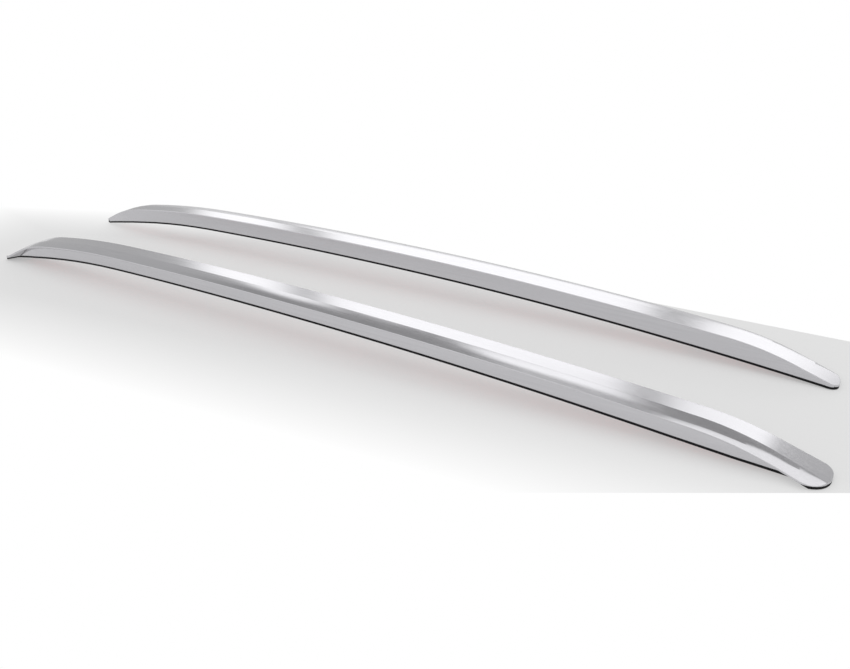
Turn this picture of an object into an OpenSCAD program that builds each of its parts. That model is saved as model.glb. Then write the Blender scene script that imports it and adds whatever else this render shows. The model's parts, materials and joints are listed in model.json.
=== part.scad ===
// A left and right pair of flush roof rails, lying side by side.
// Each rail is one aluminium bar: an open extrusion that is bent along the roof line, turned
// down more sharply at both ends, and milled off along the roof so that it runs out in two
// rounded tips. A rubber gasket follows the milled edge. Plastic carriers close the underside,
// held by screws to steel mount plates that slide in the bar, and carry the adhesive tape.
// Frame: X runs along the rails with the front tips at -X, Z is up and the tips rest on Z = 0.
// The left rail lies at -Y. Each rail has its chamfer and grip groove on the outboard side.

/* [Roof line] */
// Length of each rail along the roof
rail_length = 1700; // [1500:2:2000]
// Length of the tightly curved front part of the roof line
front_curve_length = 400; // [320:10:480]
// Length of the nearly flat middle part of the roof line
middle_curve_length = 600; // [480:10:720]
// Radius of the front part
front_curve_radius = 2000; // [1600:50:4000]
// Radius of the middle part
middle_curve_radius = 13000; // [10000:500:20000]
// Radius of the rear part
rear_curve_radius = 8800; // [7000:100:12000]
// How far the rail bows outboard in plan
plan_bow = 4.8; // [0:0.2:12]
// How much of the bow lies towards the rear
bow_skew = 0.78; // [0:0.02:0.9]

/* [Layout] */
// Distance between the two rails as they lie
rail_spacing = 267; // [150:1:1200]
// How far the right rail lies forward of the left one
right_rail_forward = 12; // [0:1:60]

/* [Bar section] */
// Width over the lip and the inboard wall
section_width = 55.5; // [50:0.5:70]
// Height of the flat top above the roof, gasket included
section_height = 33.8; // [30:0.1:42]
// Width of the flat top
top_width = 30; // [24:0.5:36]
// Drop of the outboard chamfer from the ridge to the lip
chamfer_drop = 3.6; // [1.6:0.1:5]
// Change of slope across the crowned chamfer, in degrees
chamfer_crown = 6; // [0:0.5:7]
// Height of the lip's outer face
lip_height = 2.6; // [1.5:0.1:5]
// Depth of the grip groove under the lip
groove_depth = 6.8; // [5:0.2:12]
// Upward slope of the groove's roof, in degrees
groove_slope = 30; // [5:1:45]
// Wall thickness of the bar
wall = 2.5; // [2:0.1:3.2]
// Edge break along the top of the inboard wall
edge_break = 0.8; // [0.4:0.1:1.6]
// Height of the slot for the mount plates above the roof
slot_height = 11; // [10:0.5:14]
// Thickness of the two ribs on each wall that form the slot
rib_thickness = 1.8; // [1.4:0.1:2.4]
// Width of those ribs
rib_width = 4; // [3:0.5:6]

/* [Ends] */
// Length of the turned-down ends, measured along the roof
end_length = 170; // [160:5:185]
// Bend radius of the front end
front_bend_radius = 320; // [260:10:350]
// Bend radius of the rear end
rear_bend_radius = 390; // [300:10:420]
// Height of the tips above the roof, gasket included
tip_height = 5; // [4.8:0.1:7]
// How far the inboard wall draws in at the front tip
front_inboard_taper = 16; // [0:0.5:18]
// How far the inboard wall draws in at the rear tip
rear_inboard_taper = 0; // [0:0.5:10]
// How far the groove's wall draws in at the front tip
front_groove_taper = 12; // [0:0.5:14]
// How far the groove's wall draws in at the rear tip
rear_groove_taper = 8; // [0:0.5:14]
// How far the ridge swings outboard at the front tip
front_ridge_swing = 5; // [0:0.5:10]
// How far the ridge swings outboard at the rear tip
rear_ridge_swing = 9; // [0:0.5:12]
// How far the lip flares outboard at the rear tip
rear_lip_flare = 2; // [0:0.5:6]
// Slope of the chamfer at the rear tip, in degrees
rear_chamfer_slope = 26; // [20:1:28]
// Corner radius of the front tip on the outboard side
front_outboard_radius = 16; // [10:1:20]
// Corner radius of the front tip on the inboard side
front_inboard_radius = 23; // [16:1:28]
// Corner radius of the rear tip on the outboard side
rear_outboard_radius = 36; // [16:1:38]
// Corner radius of the rear tip on the inboard side
rear_inboard_radius = 15; // [10:1:17]

/* [Gasket and carriers] */
// Thickness of the gasket between the bar and the roof
gasket_thickness = 4; // [3:0.1:4.6]
// Width of the gasket ring
gasket_width = 7; // [5:0.5:9]
// Thickness of the carriers' floor
carrier_thickness = 3; // [2:0.1:4]
// Gap between neighbouring carriers
carrier_gap = 3; // [1:0.5:6]
// Distance from the tips to the outer ends of the carriers
carrier_end = 50; // [45:1:60]
// Outer diameter of the carriers' screw posts
post_diameter = 10; // [8:0.5:12]
// Outer diameter of the carriers' boss round each mount bolt
boss_diameter = 16; // [12:0.5:18]
// Thickness of the adhesive tape
tape_thickness = 1.6; // [1:0.1:2]
// Thickness of the liner on the tape
liner_thickness = 0.4; // [0.2:0.1:0.6]
// Free margin round the tape
tape_margin = 2; // [1:0.5:4]
// Clearance between pieces that fit into each other
fit = 0.3; // [0.2:0.05:0.4]

/* [Fixings] */
// Distance of the first and last mount plate from the tips
mount_end = 215; // [210:5:260]
// Length of a mount plate
plate_length = 56; // [50:1:64]
// Thickness of a mount plate
plate_thickness = 5; // [4:0.1:6]
// Chamfer on the corners of a mount plate
plate_corner = 4; // [1:0.5:6]
// Bore of the mount thread
mount_bore = 5; // [4:0.1:6.8]
// Diameter of the hole for the mount bolt in the carrier
bolt_hole = 8; // [7:0.5:10]
// Outer diameter of the foam seal round the bolt
bolt_seal_diameter = 20; // [16:0.5:24]
// Thickness of the foam seal
bolt_seal_thickness = 3; // [2:0.1:3.4]
// Distance between the two screws of a plate
screw_spacing = 40; // [36:1:44]
// Diameter of the carrier screws
screw_diameter = 4; // [3:0.5:5]
// Head diameter of the carrier screws
screw_head = 7.6; // [6.5:0.1:8]
// Width across the flats of the screws' socket
screw_socket = 2.5; // [2:0.1:3]

/* [Hidden] */

round_fn = 48;
hex_fn = 6;
clear = 70;
run_on = 30;
screw_gap = 0.05;

// Chains: each leg is [radius, length], with radius 0 for a straight leg, and each pose is
// [x, z, pitch in degrees] at the start of a leg
function degrees(length, radius) = length / radius * 180 / PI;
function radians(angle) = angle * PI / 180;
function turned(leg) = leg[0] > 0 ? degrees(leg[1], leg[0]) : 0;
function leg_step(leg, p, q) = leg[0] > 0
    ? leg[0] * [sin(p) - sin(q), cos(q) - cos(p)]
    : leg[1] * [cos(p), sin(p)];
function onward(pose, leg) =
    let (q = pose[2] - turned(leg), d = leg_step(leg, pose[2], q))
    [pose[0] + d[0], pose[1] + d[1], q];
function backward(pose, leg) =
    let (p = pose[2] + turned(leg), d = leg_step(leg, p, pose[2]))
    [pose[0] - d[0], pose[1] - d[1], p];
function walk(legs, pose, i = 0) = i == len(legs)
    ? [pose]
    : concat([pose], walk(legs, onward(pose, legs[i]), i + 1));

// The roof line, tilted so that both tips lie at the same height
rear_curve_length = rail_length - front_curve_length - middle_curve_length;
roof_legs = [[front_curve_radius, front_curve_length], [middle_curve_radius, middle_curve_length],
             [rear_curve_radius, rear_curve_length]];
untilted_end = walk(roof_legs, [0, 0, 0])[3];
front_tip = [0, 0, -atan2(untilted_end[1], untilted_end[0])];
roof_poses = walk(roof_legs, front_tip);
chord = roof_poses[3][0];

// Pose at a distance along the roof line
function roof_pose(s) =
    s < front_curve_length ? onward(front_tip, [front_curve_radius, s])
    : s < front_curve_length + middle_curve_length
        ? onward(roof_poses[1], [middle_curve_radius, s - front_curve_length])
        : onward(roof_poses[2], [rear_curve_radius, s - front_curve_length - middle_curve_length]);

// The ends drop from full height to tip_height, and as far again as the roof falls away there
function end_fall(curve_radius) = section_height - tip_height
    + curve_radius * (1 - cos(degrees(end_length, curve_radius)));
function end_run(fall, radius) = sqrt(pow(end_length, 2) - 2 * radius * fall + pow(fall, 2));
function end_turn(fall, radius) = atan2(end_length, radius - fall)
    - acos(radius / norm([end_length, radius - fall]));
front_fall = end_fall(front_curve_radius);
rear_fall = end_fall(rear_curve_radius);
front_bend = [front_bend_radius,
              front_bend_radius * radians(end_turn(front_fall, front_bend_radius))];
rear_bend = [rear_bend_radius,
             rear_bend_radius * radians(end_turn(rear_fall, rear_bend_radius))];

// The bar's line: the roof line between the ends, with a bend and a straight run at each end
bar_legs = [[0, end_run(front_fall, front_bend_radius) + run_on],
            front_bend,
            [front_curve_radius, front_curve_length - end_length],
            roof_legs[1],
            [rear_curve_radius, rear_curve_length - end_length],
            rear_bend,
            [0, end_run(rear_fall, rear_bend_radius) + run_on]];
bar_poses = walk(bar_legs, backward(backward(roof_pose(end_length), front_bend), bar_legs[0]));
long_roof_legs = concat([[0, run_on]], roof_legs, [[0, run_on]]);
long_roof_poses = walk(long_roof_legs, backward(front_tip, long_roof_legs[0]));

// Points along a chain, closer together in the tight bends
bend_step = 1.5;
curve_step = 45;
function leg_steps(leg) = leg[0] == 0 ? 4
    : ceil(max(turned(leg) / bend_step, leg[1] / curve_step));
function chain_points(legs, poses) = concat(
    [for (i = [0 : len(legs) - 1], k = [0 : leg_steps(legs[i]) - 1])
        onward(poses[i], [legs[i][0], legs[i][1] * k / leg_steps(legs[i])])],
    [poses[len(legs)]]);
bar_line = chain_points(bar_legs, bar_poses);
roof_line = chain_points(long_roof_legs, long_roof_poses);
function raised(pose, h) = [pose[0] - h * sin(pose[2]), pose[1] + h * cos(pose[2])];

// Lines that run along the rail drift inboard by these amounts at the front and rear tips, on
// top of the bow, and fade out over the turned-down ends
lip_tips = [0, -rear_lip_flare];
groove_tips = [front_groove_taper, rear_groove_taper];
inboard_tips = [-front_inboard_taper, -rear_inboard_taper];
ridge_tips = [-front_ridge_swing, -rear_ridge_swing];
steep_lift = 7;
steep_tips = [0, steep_lift / tan(rear_chamfer_slope) - rear_ridge_swing];
groove_roof_tips = [0, -rear_lip_flare - 10];
function bow(x) = -4 * plan_bow * (x / chord) * (1 - x / chord)
    * (1 + bow_skew * (2 * x / chord - 1));
function near_tip(distance) = pow(min(1, max(0, 1 - distance / end_length)), 2);
function drift(x, tips) = bow(x) + tips[0] * near_tip(x) + tips[1] * near_tip(chord - x);

// Side view of everything below a line raised by h. On a slope it is lifted so that the shape
// keeps to a line that drifts.
module side_view(line, h, slope = 0, tips = [0, 0]) {
    top = [for (p = line) let (q = raised(p, h))
        [q[0], (q[1] - drift(q[0], tips) * tan(slope)) * cos(slope)]];
    last = top[len(top) - 1][0];
    polygon(concat(top, [[last, -clear], [top[0][0], -clear]]));
}

// Runs a side view right across the rail, sloping down outboard from y by an angle
module across(y = 0, slope = 0) {
    translate([0, y, 0])
        rotate([90 + slope, 0, 0])
            linear_extrude(4 * clear, center = true)
                children();
}
module below_roof(h) {
    across()
        side_view(roof_line, h);
}
module below_bar(h, y = 0, slope = 0, tips = [0, 0]) {
    across(y, slope)
        side_view(bar_line, h, slope, tips);
}
module roof_layer(z0, z1) {
    difference() {
        below_roof(z1);
        below_roof(z0);
    }
}

// Plan view
lip_y = -section_width / 2;
inboard_y = section_width / 2;
groove_y = lip_y + groove_depth;
ridge_y = inboard_y - top_width;
plan_steps = 24;
corner_steps = 10;
function spread(x0, x1) = [for (i = [0 : plan_steps]) x0 + (x1 - x0) * i / plan_steps];
function wall_line(y, tips, xs) = [for (x = xs) [x, y + drift(x, tips)]];
function reversed(list) = [for (i = [len(list) - 1 : -1 : 0]) list[i]];
function corner(x, y, r, start) = [for (i = [0 : corner_steps])
    let (a = start + 90 * i / corner_steps) [x + r * cos(a), y + r * sin(a)]];
module full_height() {
    translate([0, 0, -clear])
        linear_extrude(3 * clear)
            children();
}
module between(x0, x1) {
    translate([x0, -clear, -clear])
        cube([x1 - x0, 2 * clear, 3 * clear]);
}
// Strip between two wall lines
module plan_strip(y0, tips0, y1, tips1) {
    xs = spread(-run_on, chord + run_on);
    full_height()
        polygon(concat(wall_line(y0, tips0, xs), reversed(wall_line(y1, tips1, xs))));
}
// Outline of the whole rail with its rounded tips, set in by a margin
module plan_outline(m) {
    y0 = lip_y + m;
    y1 = inboard_y - m;
    fo = front_outboard_radius - m;
    fi = front_inboard_radius - m;
    ro = rear_outboard_radius - m;
    ri = rear_inboard_radius - m;
    x1 = chord - m;
    lip_xs = spread(front_outboard_radius + 4, chord - rear_outboard_radius - 4);
    inboard_xs = spread(front_inboard_radius + 4, chord - rear_inboard_radius - 4);
    full_height()
        polygon(concat(
            corner(m + fo, y0 + fo, fo, 180),
            wall_line(y0, lip_tips, lip_xs),
            corner(x1 - ro, y0 + lip_tips[1] + ro, ro, 270),
            corner(x1 - ri, y1 + inboard_tips[1] - ri, ri, 0),
            reversed(wall_line(y1, inboard_tips, inboard_xs)),
            corner(m + fi, y1 + inboard_tips[0] - fi, fi, 90)));
}

// Everything under the flat top and the crowned chamfer, set in by a margin. The steep facet
// lies clear above the others and comes down through them only at the rear tip.
chamfer_width = ridge_y - lip_y;
chamfer_slope = atan2(chamfer_drop, chamfer_width);
chamfer_facets = 3;
facet_width = chamfer_width / chamfer_facets;
function facet_slope(i) = chamfer_slope + chamfer_crown * (i / (chamfer_facets - 1) - 0.5);
function facet_drop(i) = i == 0 ? 0 : facet_drop(i - 1) + facet_width * tan(facet_slope(i - 1));
module under_top(m) {
    intersection() {
        below_bar(section_height - m);
        intersection_for(i = [0 : chamfer_facets - 1])
            below_bar(section_height - m - facet_drop(i), ridge_y - i * facet_width,
                      facet_slope(i), ridge_tips);
        below_bar(section_height - m + steep_lift, ridge_y, rear_chamfer_slope, steep_tips);
    }
}
module bar_body() {
    difference() {
        intersection() {
            under_top(0);
            below_bar(section_height, inboard_y - edge_break, -45, inboard_tips);
            plan_outline(0);
        }
        intersection() {
            below_bar(section_height - chamfer_drop - lip_height, lip_y, -groove_slope,
                      groove_roof_tips);
            plan_strip(lip_y - clear, lip_tips, groove_y, groove_tips);
        }
    }
}
module bar_hollow(m) {
    intersection() {
        under_top(m);
        plan_strip(groove_y + m, groove_tips, inboard_y - m, inboard_tips);
    }
}

// Slot for the mount plates between two ribs on each wall
slot_top = slot_height + plate_thickness + 2 * fit;
module wall_ribs(z) {
    intersection() {
        roof_layer(z, z + rib_thickness);
        between(end_length, chord - end_length);
        difference() {
            plan_strip(groove_y, groove_tips, inboard_y, inboard_tips);
            plan_strip(groove_y + wall + rib_width, groove_tips,
                       inboard_y - wall - rib_width, inboard_tips);
        }
    }
}
module rail() {
    difference() {
        bar_body();
        below_roof(gasket_thickness);
        difference() {
            bar_hollow(wall);
            wall_ribs(slot_height - rib_thickness);
            wall_ribs(slot_top);
        }
    }
}
module gasket() {
    difference() {
        intersection() {
            roof_layer(0, gasket_thickness);
            bar_body();
        }
        intersection() {
            plan_outline(gasket_width);
            plan_strip(groove_y + gasket_width, groove_tips,
                       inboard_y - gasket_width, inboard_tips);
        }
    }
}

// Fixings stand on the roof line, square to it
mount_at = [for (i = [0 : 3]) mount_end + (rail_length - 2 * mount_end) * i / 3];
slot_y = (groove_y + inboard_y) / 2;
slot_width = inboard_y - groove_y - 2 * wall;
plate_bottom = slot_height + screw_gap;
head_bottom = gasket_thickness;
head_depth = (screw_head - screw_diameter) / 2;
function bow_angle(x) = atan2(bow(x + 1) - bow(x - 1), 2);
module at_mount(i) {
    pose = roof_pose(mount_at[i]);
    translate([pose[0], slot_y + bow(pose[0]), pose[1]])
        rotate([0, 0, bow_angle(pose[0])])
            rotate([0, -pose[2], 0])
                children();
}
module at_screws() {
    for (x = [-screw_spacing / 2, screw_spacing / 2])
        translate([x, 0, 0])
            children();
}
module rod(diameter, z0, z1) {
    translate([0, 0, z0])
        cylinder(d = diameter, h = z1 - z0, $fn = round_fn);
}
module screw_body(gap) {
    rod(screw_diameter + 2 * gap, head_bottom + head_depth / 2, plate_bottom + plate_thickness);
    translate([0, 0, head_bottom])
        cylinder(d1 = screw_head + 2 * gap, d2 = screw_diameter + 2 * gap, h = head_depth,
                 $fn = round_fn);
}
module carrier_screws() {
    for (i = [0 : 3])
        at_mount(i)
            at_screws()
                difference() {
                    screw_body(0);
                    translate([0, 0, head_bottom - 1])
                        cylinder(d = screw_socket / cos(30), h = 1 + head_depth, $fn = hex_fn);
                }
}
module mount_plate(i) {
    x = plate_length / 2;
    y = slot_width / 2 - fit;
    c = plate_corner;
    at_mount(i)
        difference() {
            translate([0, 0, plate_bottom])
                linear_extrude(plate_thickness)
                    polygon([[-x, c - y], [c - x, -y], [x - c, -y], [x, c - y],
                             [x, y - c], [x - c, y], [c - x, y], [-x, y - c]]);
            rod(mount_bore, 0, clear);
            at_screws()
                rod(screw_diameter + 2 * screw_gap, 0, clear);
        }
}
module bolt_seals() {
    intersection() {
        roof_layer(gasket_thickness - bolt_seal_thickness, gasket_thickness);
        for (i = [0 : 3])
            at_mount(i)
                difference() {
                    rod(bolt_seal_diameter, -clear, clear);
                    rod(bolt_hole, -clear - 1, clear + 1);
                }
    }
}

// A carrier between two ends, with the posts for the mounts it covers
module carrier(x0, x1, mounts) {
    difference() {
        union() {
            intersection() {
                roof_layer(gasket_thickness, gasket_thickness + carrier_thickness);
                bar_hollow(wall + fit);
                between(x0, x1);
            }
            for (i = mounts)
                at_mount(i) {
                    rod(boss_diameter, gasket_thickness + carrier_thickness / 2, slot_height);
                    at_screws()
                        rod(post_diameter, gasket_thickness + carrier_thickness / 2, slot_height);
                }
        }
        for (i = mounts)
            at_mount(i) {
                rod(bolt_hole, 0, clear);
                at_screws() {
                    screw_body(screw_gap);
                    rod(screw_head + 2 * screw_gap, 0, head_bottom);
                }
            }
    }
}
module tape_layer(z0, z1, x0, x1, mounts) {
    inset = gasket_width + tape_margin;
    difference() {
        intersection() {
            roof_layer(z0, z1);
            plan_strip(groove_y + inset, groove_tips, inboard_y - inset, inboard_tips);
            between(x0 + tape_margin, x1 - tape_margin);
        }
        for (i = mounts)
            at_mount(i)
                rod(bolt_seal_diameter + 2 * tape_margin, -clear, clear);
    }
}
tape_bottom = gasket_thickness - tape_thickness;
module tape(x0, x1, mounts) {
    tape_layer(tape_bottom, gasket_thickness, x0, x1, mounts);
}
module tape_liner(x0, x1, mounts) {
    tape_layer(tape_bottom - liner_thickness, tape_bottom, x0, x1, mounts);
}

// Ends of the three carriers, and the mounts that each one covers
front_span = [carrier_end, (chord - 2 * carrier_gap) / 4];
centre_span = [front_span[1] + carrier_gap, chord - front_span[1] - carrier_gap];
rear_span = [chord - front_span[1], chord - carrier_end];
front_mounts = [0];
centre_mounts = [1, 2];
rear_mounts = [3];

module left_side() {
    translate([-(chord - right_rail_forward) / 2, -rail_spacing / 2, 0])
        children();
}
module right_side() {
    translate([-(chord + right_rail_forward) / 2, rail_spacing / 2, 0])
        mirror([0, 1, 0])
            children();
}

// The left rail's pieces
module left_rail() {
    color("silver")
        left_side()
            rail();
}
module left_gasket() {
    color("black")
        left_side()
            gasket();
}
module left_front_carrier() {
    color("dimgray")
        left_side()
            carrier(front_span[0], front_span[1], front_mounts);
}
module left_centre_carrier() {
    color("dimgray")
        left_side()
            carrier(centre_span[0], centre_span[1], centre_mounts);
}
module left_rear_carrier() {
    color("dimgray")
        left_side()
            carrier(rear_span[0], rear_span[1], rear_mounts);
}
module left_front_mount_plate() {
    color("gray")
        left_side()
            mount_plate(0);
}
module left_front_middle_mount_plate() {
    color("gray")
        left_side()
            mount_plate(1);
}
module left_rear_middle_mount_plate() {
    color("gray")
        left_side()
            mount_plate(2);
}
module left_rear_mount_plate() {
    color("gray")
        left_side()
            mount_plate(3);
}
module left_carrier_screws() {
    color("lightgray")
        left_side()
            carrier_screws();
}
module left_bolt_seals() {
    color("darkslategray")
        left_side()
            bolt_seals();
}
module left_front_tape() {
    color("black")
        left_side()
            tape(front_span[0], front_span[1], front_mounts);
}
module left_centre_tape() {
    color("black")
        left_side()
            tape(centre_span[0], centre_span[1], centre_mounts);
}
module left_rear_tape() {
    color("black")
        left_side()
            tape(rear_span[0], rear_span[1], rear_mounts);
}
module left_front_tape_liner() {
    color("red")
        left_side()
            tape_liner(front_span[0], front_span[1], front_mounts);
}
module left_centre_tape_liner() {
    color("red")
        left_side()
            tape_liner(centre_span[0], centre_span[1], centre_mounts);
}
module left_rear_tape_liner() {
    color("red")
        left_side()
            tape_liner(rear_span[0], rear_span[1], rear_mounts);
}

// The right rail's pieces
module right_rail() {
    color("silver")
        right_side()
            rail();
}
module right_gasket() {
    color("black")
        right_side()
            gasket();
}
module right_front_carrier() {
    color("dimgray")
        right_side()
            carrier(front_span[0], front_span[1], front_mounts);
}
module right_centre_carrier() {
    color("dimgray")
        right_side()
            carrier(centre_span[0], centre_span[1], centre_mounts);
}
module right_rear_carrier() {
    color("dimgray")
        right_side()
            carrier(rear_span[0], rear_span[1], rear_mounts);
}
module right_front_mount_plate() {
    color("gray")
        right_side()
            mount_plate(0);
}
module right_front_middle_mount_plate() {
    color("gray")
        right_side()
            mount_plate(1);
}
module right_rear_middle_mount_plate() {
    color("gray")
        right_side()
            mount_plate(2);
}
module right_rear_mount_plate() {
    color("gray")
        right_side()
            mount_plate(3);
}
module right_carrier_screws() {
    color("lightgray")
        right_side()
            carrier_screws();
}
module right_bolt_seals() {
    color("darkslategray")
        right_side()
            bolt_seals();
}
module right_front_tape() {
    color("black")
        right_side()
            tape(front_span[0], front_span[1], front_mounts);
}
module right_centre_tape() {
    color("black")
        right_side()
            tape(centre_span[0], centre_span[1], centre_mounts);
}
module right_rear_tape() {
    color("black")
        right_side()
            tape(rear_span[0], rear_span[1], rear_mounts);
}
module right_front_tape_liner() {
    color("red")
        right_side()
            tape_liner(front_span[0], front_span[1], front_mounts);
}
module right_centre_tape_liner() {
    color("red")
        right_side()
            tape_liner(centre_span[0], centre_span[1], centre_mounts);
}
module right_rear_tape_liner() {
    color("red")
        right_side()
            tape_liner(rear_span[0], rear_span[1], rear_mounts);
}

left_rail();
left_gasket();
left_front_carrier();
left_centre_carrier();
left_rear_carrier();
left_front_mount_plate();
left_front_middle_mount_plate();
left_rear_middle_mount_plate();
left_rear_mount_plate();
left_carrier_screws();
left_bolt_seals();
left_front_tape();
left_centre_tape();
left_rear_tape();
left_front_tape_liner();
left_centre_tape_liner();
left_rear_tape_liner();
right_rail();
right_gasket();
right_front_carrier();
right_centre_carrier();
right_rear_carrier();
right_front_mount_plate();
right_front_middle_mount_plate();
right_rear_middle_mount_plate();
right_rear_mount_plate();
right_carrier_screws();
right_bolt_seals();
right_front_tape();
right_centre_tape();
right_rear_tape();
right_front_tape_liner();
right_centre_tape_liner();
right_rear_tape_liner();
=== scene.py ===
"""Visual model of the pair of roof rails, over the CAD frame, in metres.

The visible pieces carry the CAD nodes' own surfaces with smooth shading, so their outlines are the
CAD's, apart from the top edge of each rail's lip, which is lifted a little. What this script adds
is finish: brushed aluminium, rubber, moulded plastic, plated steel, foam and liner film, and the
studio that the pair is shown in.
"""

import json
import math

import bmesh
import bpy
from mathutils import Matrix, Vector


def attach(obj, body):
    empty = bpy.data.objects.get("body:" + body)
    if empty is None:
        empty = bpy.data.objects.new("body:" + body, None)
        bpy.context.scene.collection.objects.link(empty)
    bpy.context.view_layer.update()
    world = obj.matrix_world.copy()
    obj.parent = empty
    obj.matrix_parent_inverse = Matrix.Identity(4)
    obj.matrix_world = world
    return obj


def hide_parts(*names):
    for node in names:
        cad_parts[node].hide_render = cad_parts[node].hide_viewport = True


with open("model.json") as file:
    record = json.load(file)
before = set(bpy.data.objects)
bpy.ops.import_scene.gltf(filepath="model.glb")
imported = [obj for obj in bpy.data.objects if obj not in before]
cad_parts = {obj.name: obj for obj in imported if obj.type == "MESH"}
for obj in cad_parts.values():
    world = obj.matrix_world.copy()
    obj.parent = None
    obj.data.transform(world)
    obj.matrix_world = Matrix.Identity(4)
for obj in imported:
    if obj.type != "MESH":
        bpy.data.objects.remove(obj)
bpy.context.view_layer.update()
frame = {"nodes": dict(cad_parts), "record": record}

# Camera, fitted to the photo: focal length in pixels, heading, tilt, roll and place
PICTURE_WIDTH = 850
SENSOR_MM = 36.0
FOCAL_PX = 736.25
HEADING = -0.55238
TILT = 0.47830
ROLL = -0.02827
CAMERA_AT = (0.80563, -1.00992, 0.59937)

# Smooth shading stops at edges that turn by more than this. Behind SOFT_CREASE_FROM_X the crease
# between the rail's chamfer and the steep facet of its rear tip stays soft all the same.
RAIL_SHARP_DEG = 4.2
OTHER_SHARP_DEG = 20.0
SOFT_CREASE_FROM_X = 0.56

# Slopes across the rail, in degrees: the chamfer's steepest, the steep facet's where it meets the
# chamfer and where it meets the lip's face, and the least slope of that face
CHAMFER_SLOPE_MAX = 16.0
CREASE_FACET_SLOPES = (18.0, 30.0)
LIP_FACET_SLOPES = (20.0, 30.0)
LIP_FACE_SLOPE_MIN = 75.0

# How far the lip's top edge is lifted, and between which X that fades out
LIP_LIFT = 0.0018
LIP_LIFT_ENDS = (0.62, 0.76)

# Noise mostly lies in this span
NOISE_SPAN = (0.3, 0.7)

# Brushed aluminium: streaks and broader bands drawn out along X, and eased edges
STREAK_SCALES = (3.0, 900.0, 900.0)
BAND_SCALES = (1.2, 60.0, 60.0)
METAL_DARK = (0.655, 0.65, 0.675, 1.0)
METAL_PALE = (0.72, 0.715, 0.74, 1.0)
METAL_ROUGHNESS = (0.13, 0.19)
BAND_ROUGHNESS = (-0.01, 0.02)
EDGE_RADIUS = 0.0010
STREAK_BUMP = 0.05
STREAK_DEPTH = 0.0001

# The other finishes: how far a speckle shifts their roughness and how deep its grain is, then each
# one's colour, metalness, roughness, grain strength, grain scale and gloss
SPECKLE_ROUGHNESS = 0.04
GRAIN_DEPTH = 0.0002
PLAIN_FINISHES = {
    "seal_rubber": ((0.006, 0.006, 0.007, 1.0), 0.0, 0.6, 0.2, 900.0, 0.15),
    "carrier_plastic": ((0.02, 0.02, 0.022, 1.0), 0.0, 0.55, 0.4, 1400.0, 0.5),
    "plate_steel": ((0.55, 0.56, 0.58, 1.0), 1.0, 0.35, 0.1, 600.0, 0.5),
    "screw_steel": ((0.6, 0.61, 0.63, 1.0), 1.0, 0.3, 0.1, 600.0, 0.5),
    "seal_foam": ((0.02, 0.02, 0.02, 1.0), 0.0, 0.8, 0.8, 2500.0, 0.5),
    "tape_foam": ((0.03, 0.03, 0.03, 1.0), 0.0, 0.8, 0.6, 2500.0, 0.5),
    "liner_film": ((0.55, 0.02, 0.02, 1.0), 0.0, 0.35, 0.1, 300.0, 0.5),
}

# The table: its paleness, the painted glow it is seen with and that glow's share, which lightens
# its shadows near the rails by half, and how much dimmer the glow is in the metal
TABLE_PALENESS = 0.88
TABLE_GLOW = 0.78
TABLE_GLOW_SHARE = 0.5
TABLE_IN_METAL = 0.84

# The table's corners, and where it fades to white: forward of the rails along a line turned by
# FADE_SLANT, to both sides, and past a far corner along a line turned by CORNER_SLANT
TABLE_CORNERS = [(-3.0, -2.296), (1.352, 0.124), (1.352, 0.29), (-3.0, 0.29)]
FADE_FRONT = (0.20, 0.40)
FADE_SLANT = 0.10
FADE_SIDE = (0.92, 1.25)
FADE_CORNER = (0.33, 0.52)
CORNER_SLANT = 0.35

# The studio's light: each panel is painted over the room and the panels before it, as (level,
# azimuth from, to, softness, height from, to, softness), in degrees
ROOM_LEVEL = 0.55
PANELS = [
    (1.12, -200, 200, 1, 62, 95, 5),
    (0.72, -200, 200, 1, -95, 10, 5),
    (1.10, -168, -108, 10, 6, 48, 6),
    (1.10, -72, -12, 10, 6, 48, 6),
    (1.12, 2, 58, 8, 44, 66, 6),
    (0.50, 140, 168, 5, -30, 60, 6),
    (0.33, 58, 152, 7, 34, 58, 2),
    (1.42, 98.5, 119, 3, 40, 50, 1.5),
    (0.60, 98.5, 122, 3, 52, 58, 1.5),
    (1.40, 132.5, 140, 1.5, 9, 36, 1),
    (1.40, 98.8, 129.5, 1.5, 9, 36, 1),
    (1.40, 71, 94.5, 2, 9, 36, 1),
]


def camera():
    """The camera, with its axes built from heading, tilt and roll."""
    level = math.cos(TILT)
    forward = Vector((math.sin(HEADING) * level, math.cos(HEADING) * level, -math.sin(TILT)))
    right = Vector((math.cos(HEADING), -math.sin(HEADING), 0.0))
    up = right.cross(forward)
    c, s = math.cos(ROLL), math.sin(ROLL)
    right, up = c * right + s * up, c * up - s * right
    data = bpy.data.cameras.new("camera")
    data.sensor_fit = "HORIZONTAL"
    data.sensor_width = SENSOR_MM
    data.lens = FOCAL_PX / PICTURE_WIDTH * SENSOR_MM
    data.clip_start, data.clip_end = 0.01, 100.0
    obj = bpy.data.objects.new("camera", data)
    axes = Matrix((right, up, -forward)).transposed()
    obj.matrix_world = Matrix.Translation(CAMERA_AT) @ axes.to_4x4()
    bpy.context.scene.collection.objects.link(obj)
    bpy.context.scene.camera = obj


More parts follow.
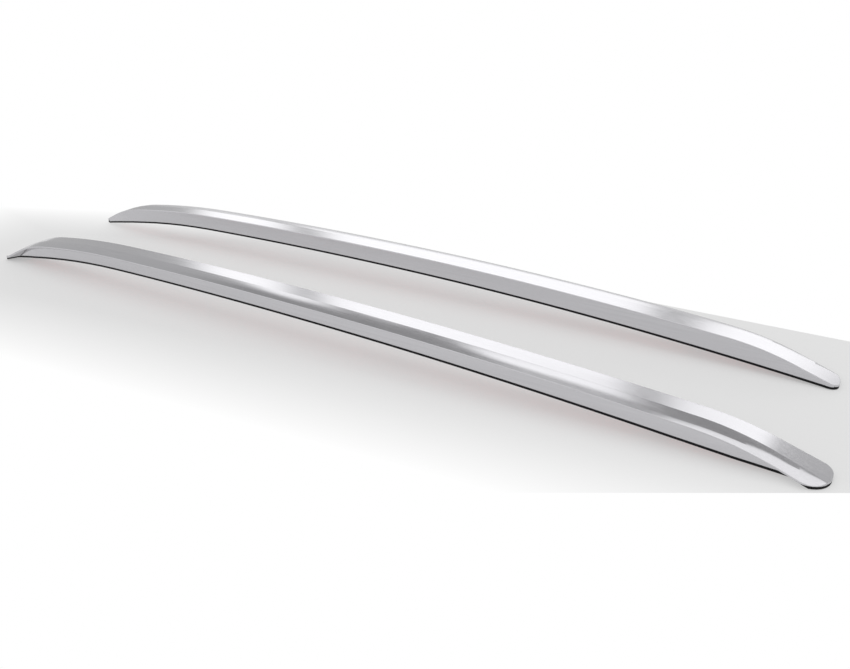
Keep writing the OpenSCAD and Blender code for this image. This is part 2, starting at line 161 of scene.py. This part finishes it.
class Nodes:
    """Short ways to add and join shader nodes."""

    def __init__(self, tree):
        self.tree = tree
        tree.nodes.clear()

    def add(self, kind, **values):
        node = self.tree.nodes.new("ShaderNode" + kind)
        for key, value in values.items():
            setattr(node, key, value)
        return node

    def put(self, socket, value):
        if isinstance(value, bpy.types.NodeSocket):
            self.tree.links.new(value, socket)
        else:
            socket.default_value = value

    def maths(self, operation, a, b=None):
        node = self.add("Math", operation=operation)
        self.put(node.inputs[0], a)
        if b is not None:
            self.put(node.inputs[1], b)
        return node.outputs[0]

    def ramp(self, factor, span, colours):
        """From one colour to another as the factor crosses the span."""
        node = self.add("ValToRGB")
        for element, at, colour in zip(node.color_ramp.elements, span, colours):
            element.position = at
            element.color = colour
        self.put(node.inputs[0], factor)
        return node.outputs[0]

    def stretch(self, factor, low, high, to_low, to_high, interpolation="LINEAR"):
        """The span low to high carried over to to_low to to_high, and held beyond its ends."""
        node = self.add("MapRange", interpolation_type=interpolation)
        for socket, value in zip(node.inputs, (factor, low, high, to_low, to_high)):
            self.put(socket, value)
        return node.outputs[0]

    def window(self, value, low, high, soft):
        """1 between low and high, 0 outside, with soft ends."""
        rise = self.stretch(value, low - soft, low + soft, 0.0, 1.0, "SMOOTHSTEP")
        fall = self.stretch(value, high - soft, high + soft, 1.0, 0.0, "SMOOTHSTEP")
        return self.maths("MULTIPLY", rise, fall)

    def blend(self, value, other, share):
        """The value moved towards the other one by the share."""
        change = self.maths("SUBTRACT", other, value)
        return self.maths("ADD", value, self.maths("MULTIPLY", share, change))

    def noise(self, scale, stretched=(1.0, 1.0, 1.0), detail=4.0):
        where = self.add("TexCoord")
        mapping = self.add("Mapping")
        mapping.inputs["Scale"].default_value = stretched
        self.put(mapping.inputs["Vector"], where.outputs["Object"])
        node = self.add("TexNoise")
        self.put(node.inputs["Vector"], mapping.outputs[0])
        node.inputs["Scale"].default_value = scale
        node.inputs["Detail"].default_value = detail
        return node.outputs["Fac"]


def material(name):
    made = bpy.data.materials.new(name)
    made.use_nodes = True
    return made, Nodes(made.node_tree)


def principled(n, colour, metallic, roughness):
    shader = n.add("BsdfPrincipled")
    n.put(shader.inputs["Base Color"], colour)
    n.put(shader.inputs["Metallic"], metallic)
    n.put(shader.inputs["Roughness"], roughness)
    out = n.add("OutputMaterial")
    n.put(out.inputs["Surface"], shader.outputs[0])
    return shader


def satin_aluminium():
    """Brushed lengthwise: fine streaks in colour, roughness and height, with eased edges."""
    made, n = material("satin_aluminium")
    streaks = n.noise(1.0, STREAK_SCALES, 6.0)
    bands = n.noise(1.0, BAND_SCALES, 3.0)
    streak_roughness = n.stretch(streaks, *NOISE_SPAN, *METAL_ROUGHNESS)
    band_roughness = n.stretch(bands, *NOISE_SPAN, *BAND_ROUGHNESS)
    roughness = n.maths("ADD", streak_roughness, band_roughness)
    colour = n.ramp(streaks, NOISE_SPAN, (METAL_DARK, METAL_PALE))
    shader = principled(n, colour, 1.0, roughness)
    bevel = n.add("Bevel", samples=6)
    bevel.inputs["Radius"].default_value = EDGE_RADIUS
    bump = n.add("Bump")
    bump.inputs["Strength"].default_value = STREAK_BUMP
    bump.inputs["Distance"].default_value = STREAK_DEPTH
    n.put(bump.inputs["Height"], streaks)
    n.put(bump.inputs["Normal"], bevel.outputs[0])
    n.put(shader.inputs["Normal"], bump.outputs[0])
    return made


def plain(name, colour, metallic, roughness, grain, grain_scale, gloss):
    """A matt or plated finish with a fine grain."""
    made, n = material(name)
    speckle = n.noise(grain_scale, detail=3.0)
    low, high = roughness - SPECKLE_ROUGHNESS, roughness + SPECKLE_ROUGHNESS
    shader = principled(n, colour, metallic, n.stretch(speckle, *NOISE_SPAN, low, high))
    shader.inputs["Specular IOR Level"].default_value = gloss
    bump = n.add("Bump")
    bump.inputs["Strength"].default_value = grain
    bump.inputs["Distance"].default_value = GRAIN_DEPTH
    n.put(bump.inputs["Height"], speckle)
    n.put(shader.inputs["Normal"], bump.outputs[0])
    return made


def visible_pieces():
    """A smoothly shaded copy of each CAD node, in the finish of its material slot."""
    finishes = {"satin_aluminium": satin_aluminium()}
    for name, values in PLAIN_FINISHES.items():
        finishes[name] = plain(name, *values)
    for part in frame["record"]["subparts"]:
        node = frame["nodes"][part["node"]]
        finish = finishes[part["material_slot"]]
        mesh = node.data.copy()
        shape(mesh, part["material_slot"] == "satin_aluminium")
        piece = bpy.data.objects.new(part["node"] + "_skin", mesh)
        bpy.context.scene.collection.objects.link(piece)
        for data in (mesh, node.data):
            data.materials.clear()
            data.materials.append(finish)
        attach(piece, "root")
        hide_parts(part["node"])


def shape(mesh, rail):
    """Join coincident vertices, lift a rail's lip and set which edges stay crisp."""
    if "custom_normal" in mesh.attributes:
        mesh.attributes.remove(mesh.attributes["custom_normal"])
    bm = bmesh.new()
    bm.from_mesh(mesh)
    bmesh.ops.remove_doubles(bm, verts=bm.verts, dist=1e-6)
    if rail:
        lift_lip(bm)
    bm.normal_update()
    for face in bm.faces:
        face.smooth = True
    limit = math.radians(RAIL_SHARP_DEG if rail else OTHER_SHARP_DEG)
    for edge in bm.edges:
        turn = edge.calc_face_angle(math.pi)
        rear = rail and min(v.co.x for v in edge.verts) > SOFT_CREASE_FROM_X
        edge.smooth = turn < limit or (rear and is_rear_crease(edge))
    bm.to_mesh(mesh)
    bm.free()


def side_slope(face):
    """Slope of a face across the rail, in degrees: 0 is level, 90 is upright."""
    return math.degrees(math.atan2(abs(face.normal.y), face.normal.z))


def is_rear_crease(edge):
    """Whether the chamfer and the steep facet meet at this edge."""
    slopes = sorted(side_slope(face) for face in edge.link_faces)
    least, most = CREASE_FACET_SLOPES
    return slopes[0] < CHAMFER_SLOPE_MAX and least < slopes[-1] < most


def lift_lip(bm):
    """Carry the crowned chamfer on to the lip; the steep facet belongs at the rear tip only."""
    least, most = LIP_FACET_SLOPES
    fade_from, fade_to = LIP_LIFT_ENDS
    for vertex in bm.verts:
        slopes = [side_slope(face) for face in vertex.link_faces]
        on_facet = any(least < slope < most for slope in slopes)
        if on_facet and any(slope > LIP_FACE_SLOPE_MIN for slope in slopes):
            share = (vertex.co.x - fade_from) / (fade_to - fade_from)
            vertex.co.z += LIP_LIFT * (1.0 - min(1.0, max(0.0, share)))


def table():
    """The pale table keeps the shadows, halved by a painted glow, and fades to white away from the
    rails.
    """
    mesh = bpy.data.meshes.new("table")
    mesh.from_pydata([(x, y, 0.0) for x, y in TABLE_CORNERS], [], [(0, 1, 2, 3)])
    made, n = material("table_top")
    paper = n.add("BsdfDiffuse")
    paper.inputs["Color"].default_value = (TABLE_PALENESS, TABLE_PALENESS, TABLE_PALENESS, 1.0)
    # Painted glow: an emission over the table that lightens its shadows near the rails and is
    # dimmer in the metal
    glow = n.add("Emission")
    where = n.add("NewGeometry")
    axes = n.add("SeparateXYZ")
    n.put(axes.inputs[0], where.outputs["Position"])
    x, y = axes.outputs[0], axes.outputs[1]
    forward = n.maths("SUBTRACT", n.maths("MULTIPLY", x, FADE_SLANT), y)
    front = n.stretch(forward, *FADE_FRONT, 0.0, 1.0)
    side = n.stretch(n.maths("ABSOLUTE", x), *FADE_SIDE, 0.0, 1.0)
    outward = n.maths("SUBTRACT", y, n.maths("MULTIPLY", x, CORNER_SLANT))
    corner = n.stretch(outward, *FADE_CORNER, 0.0, 1.0)
    fade = n.maths("MAXIMUM", corner, n.maths("MAXIMUM", front, side))
    ray = n.add("LightPath")
    dimmed = n.stretch(ray.outputs["Is Glossy Ray"], 0.0, 1.0, 1.0, TABLE_IN_METAL)
    strength = n.stretch(fade, 0.0, 1.0, TABLE_GLOW, 1.0)
    n.put(glow.inputs["Strength"], n.maths("MULTIPLY", strength, dimmed))
    seen = n.maths("MAXIMUM", ray.outputs["Is Camera Ray"], ray.outputs["Is Glossy Ray"])
    # Near the rails the painted glow takes half the table's colour, which halves the depth of its
    # shadows
    glow_share = n.stretch(fade, 0.0, 1.0, TABLE_GLOW_SHARE, 1.0)
    mix = n.add("MixShader")
    n.put(mix.inputs[0], n.maths("MULTIPLY", seen, glow_share))
    n.put(mix.inputs[1], paper.outputs[0])
    n.put(mix.inputs[2], glow.outputs[0])
    out = n.add("OutputMaterial")
    n.put(out.inputs["Surface"], mix.outputs[0])
    mesh.materials.append(made)
    obj = bpy.data.objects.new("table", mesh)
    bpy.context.scene.collection.objects.link(obj)


def studio():
    """Light all round from PANELS, with plain white where the camera looks past the table."""
    scene = bpy.context.scene
    scene.world = bpy.data.worlds.new("studio")
    scene.world.use_nodes = True
    n = Nodes(scene.world.node_tree)
    where = n.add("TexCoord")
    axes = n.add("SeparateXYZ")
    n.put(axes.inputs[0], where.outputs["Generated"])
    x, y, z = axes.outputs
    height = n.maths("MULTIPLY", n.maths("ARCSINE", z), math.degrees(1.0))
    azimuth = n.maths("MULTIPLY", n.maths("ARCTAN2", y, x), math.degrees(1.0))
    light = ROOM_LEVEL
    for level, turn_from, turn_to, turn_soft, low, high, soft in PANELS:
        share = n.maths("MULTIPLY", n.window(azimuth, turn_from, turn_to, turn_soft),
                        n.window(height, low, high, soft))
        light = n.blend(light, level, share)
    ray = n.add("LightPath")
    background = n.add("Background")
    n.put(background.inputs["Color"], light)
    white = n.add("Background")
    white.inputs["Color"].default_value = (1.0, 1.0, 1.0, 1.0)
    mix = n.add("MixShader")
    n.put(mix.inputs[0], ray.outputs["Is Camera Ray"])
    n.put(mix.inputs[1], background.outputs[0])
    n.put(mix.inputs[2], white.outputs[0])
    out = n.add("OutputWorld")
    n.put(out.inputs["Surface"], mix.outputs[0])
    scene.view_settings.view_transform = "Standard"


visible_pieces()
table()
studio()
camera()
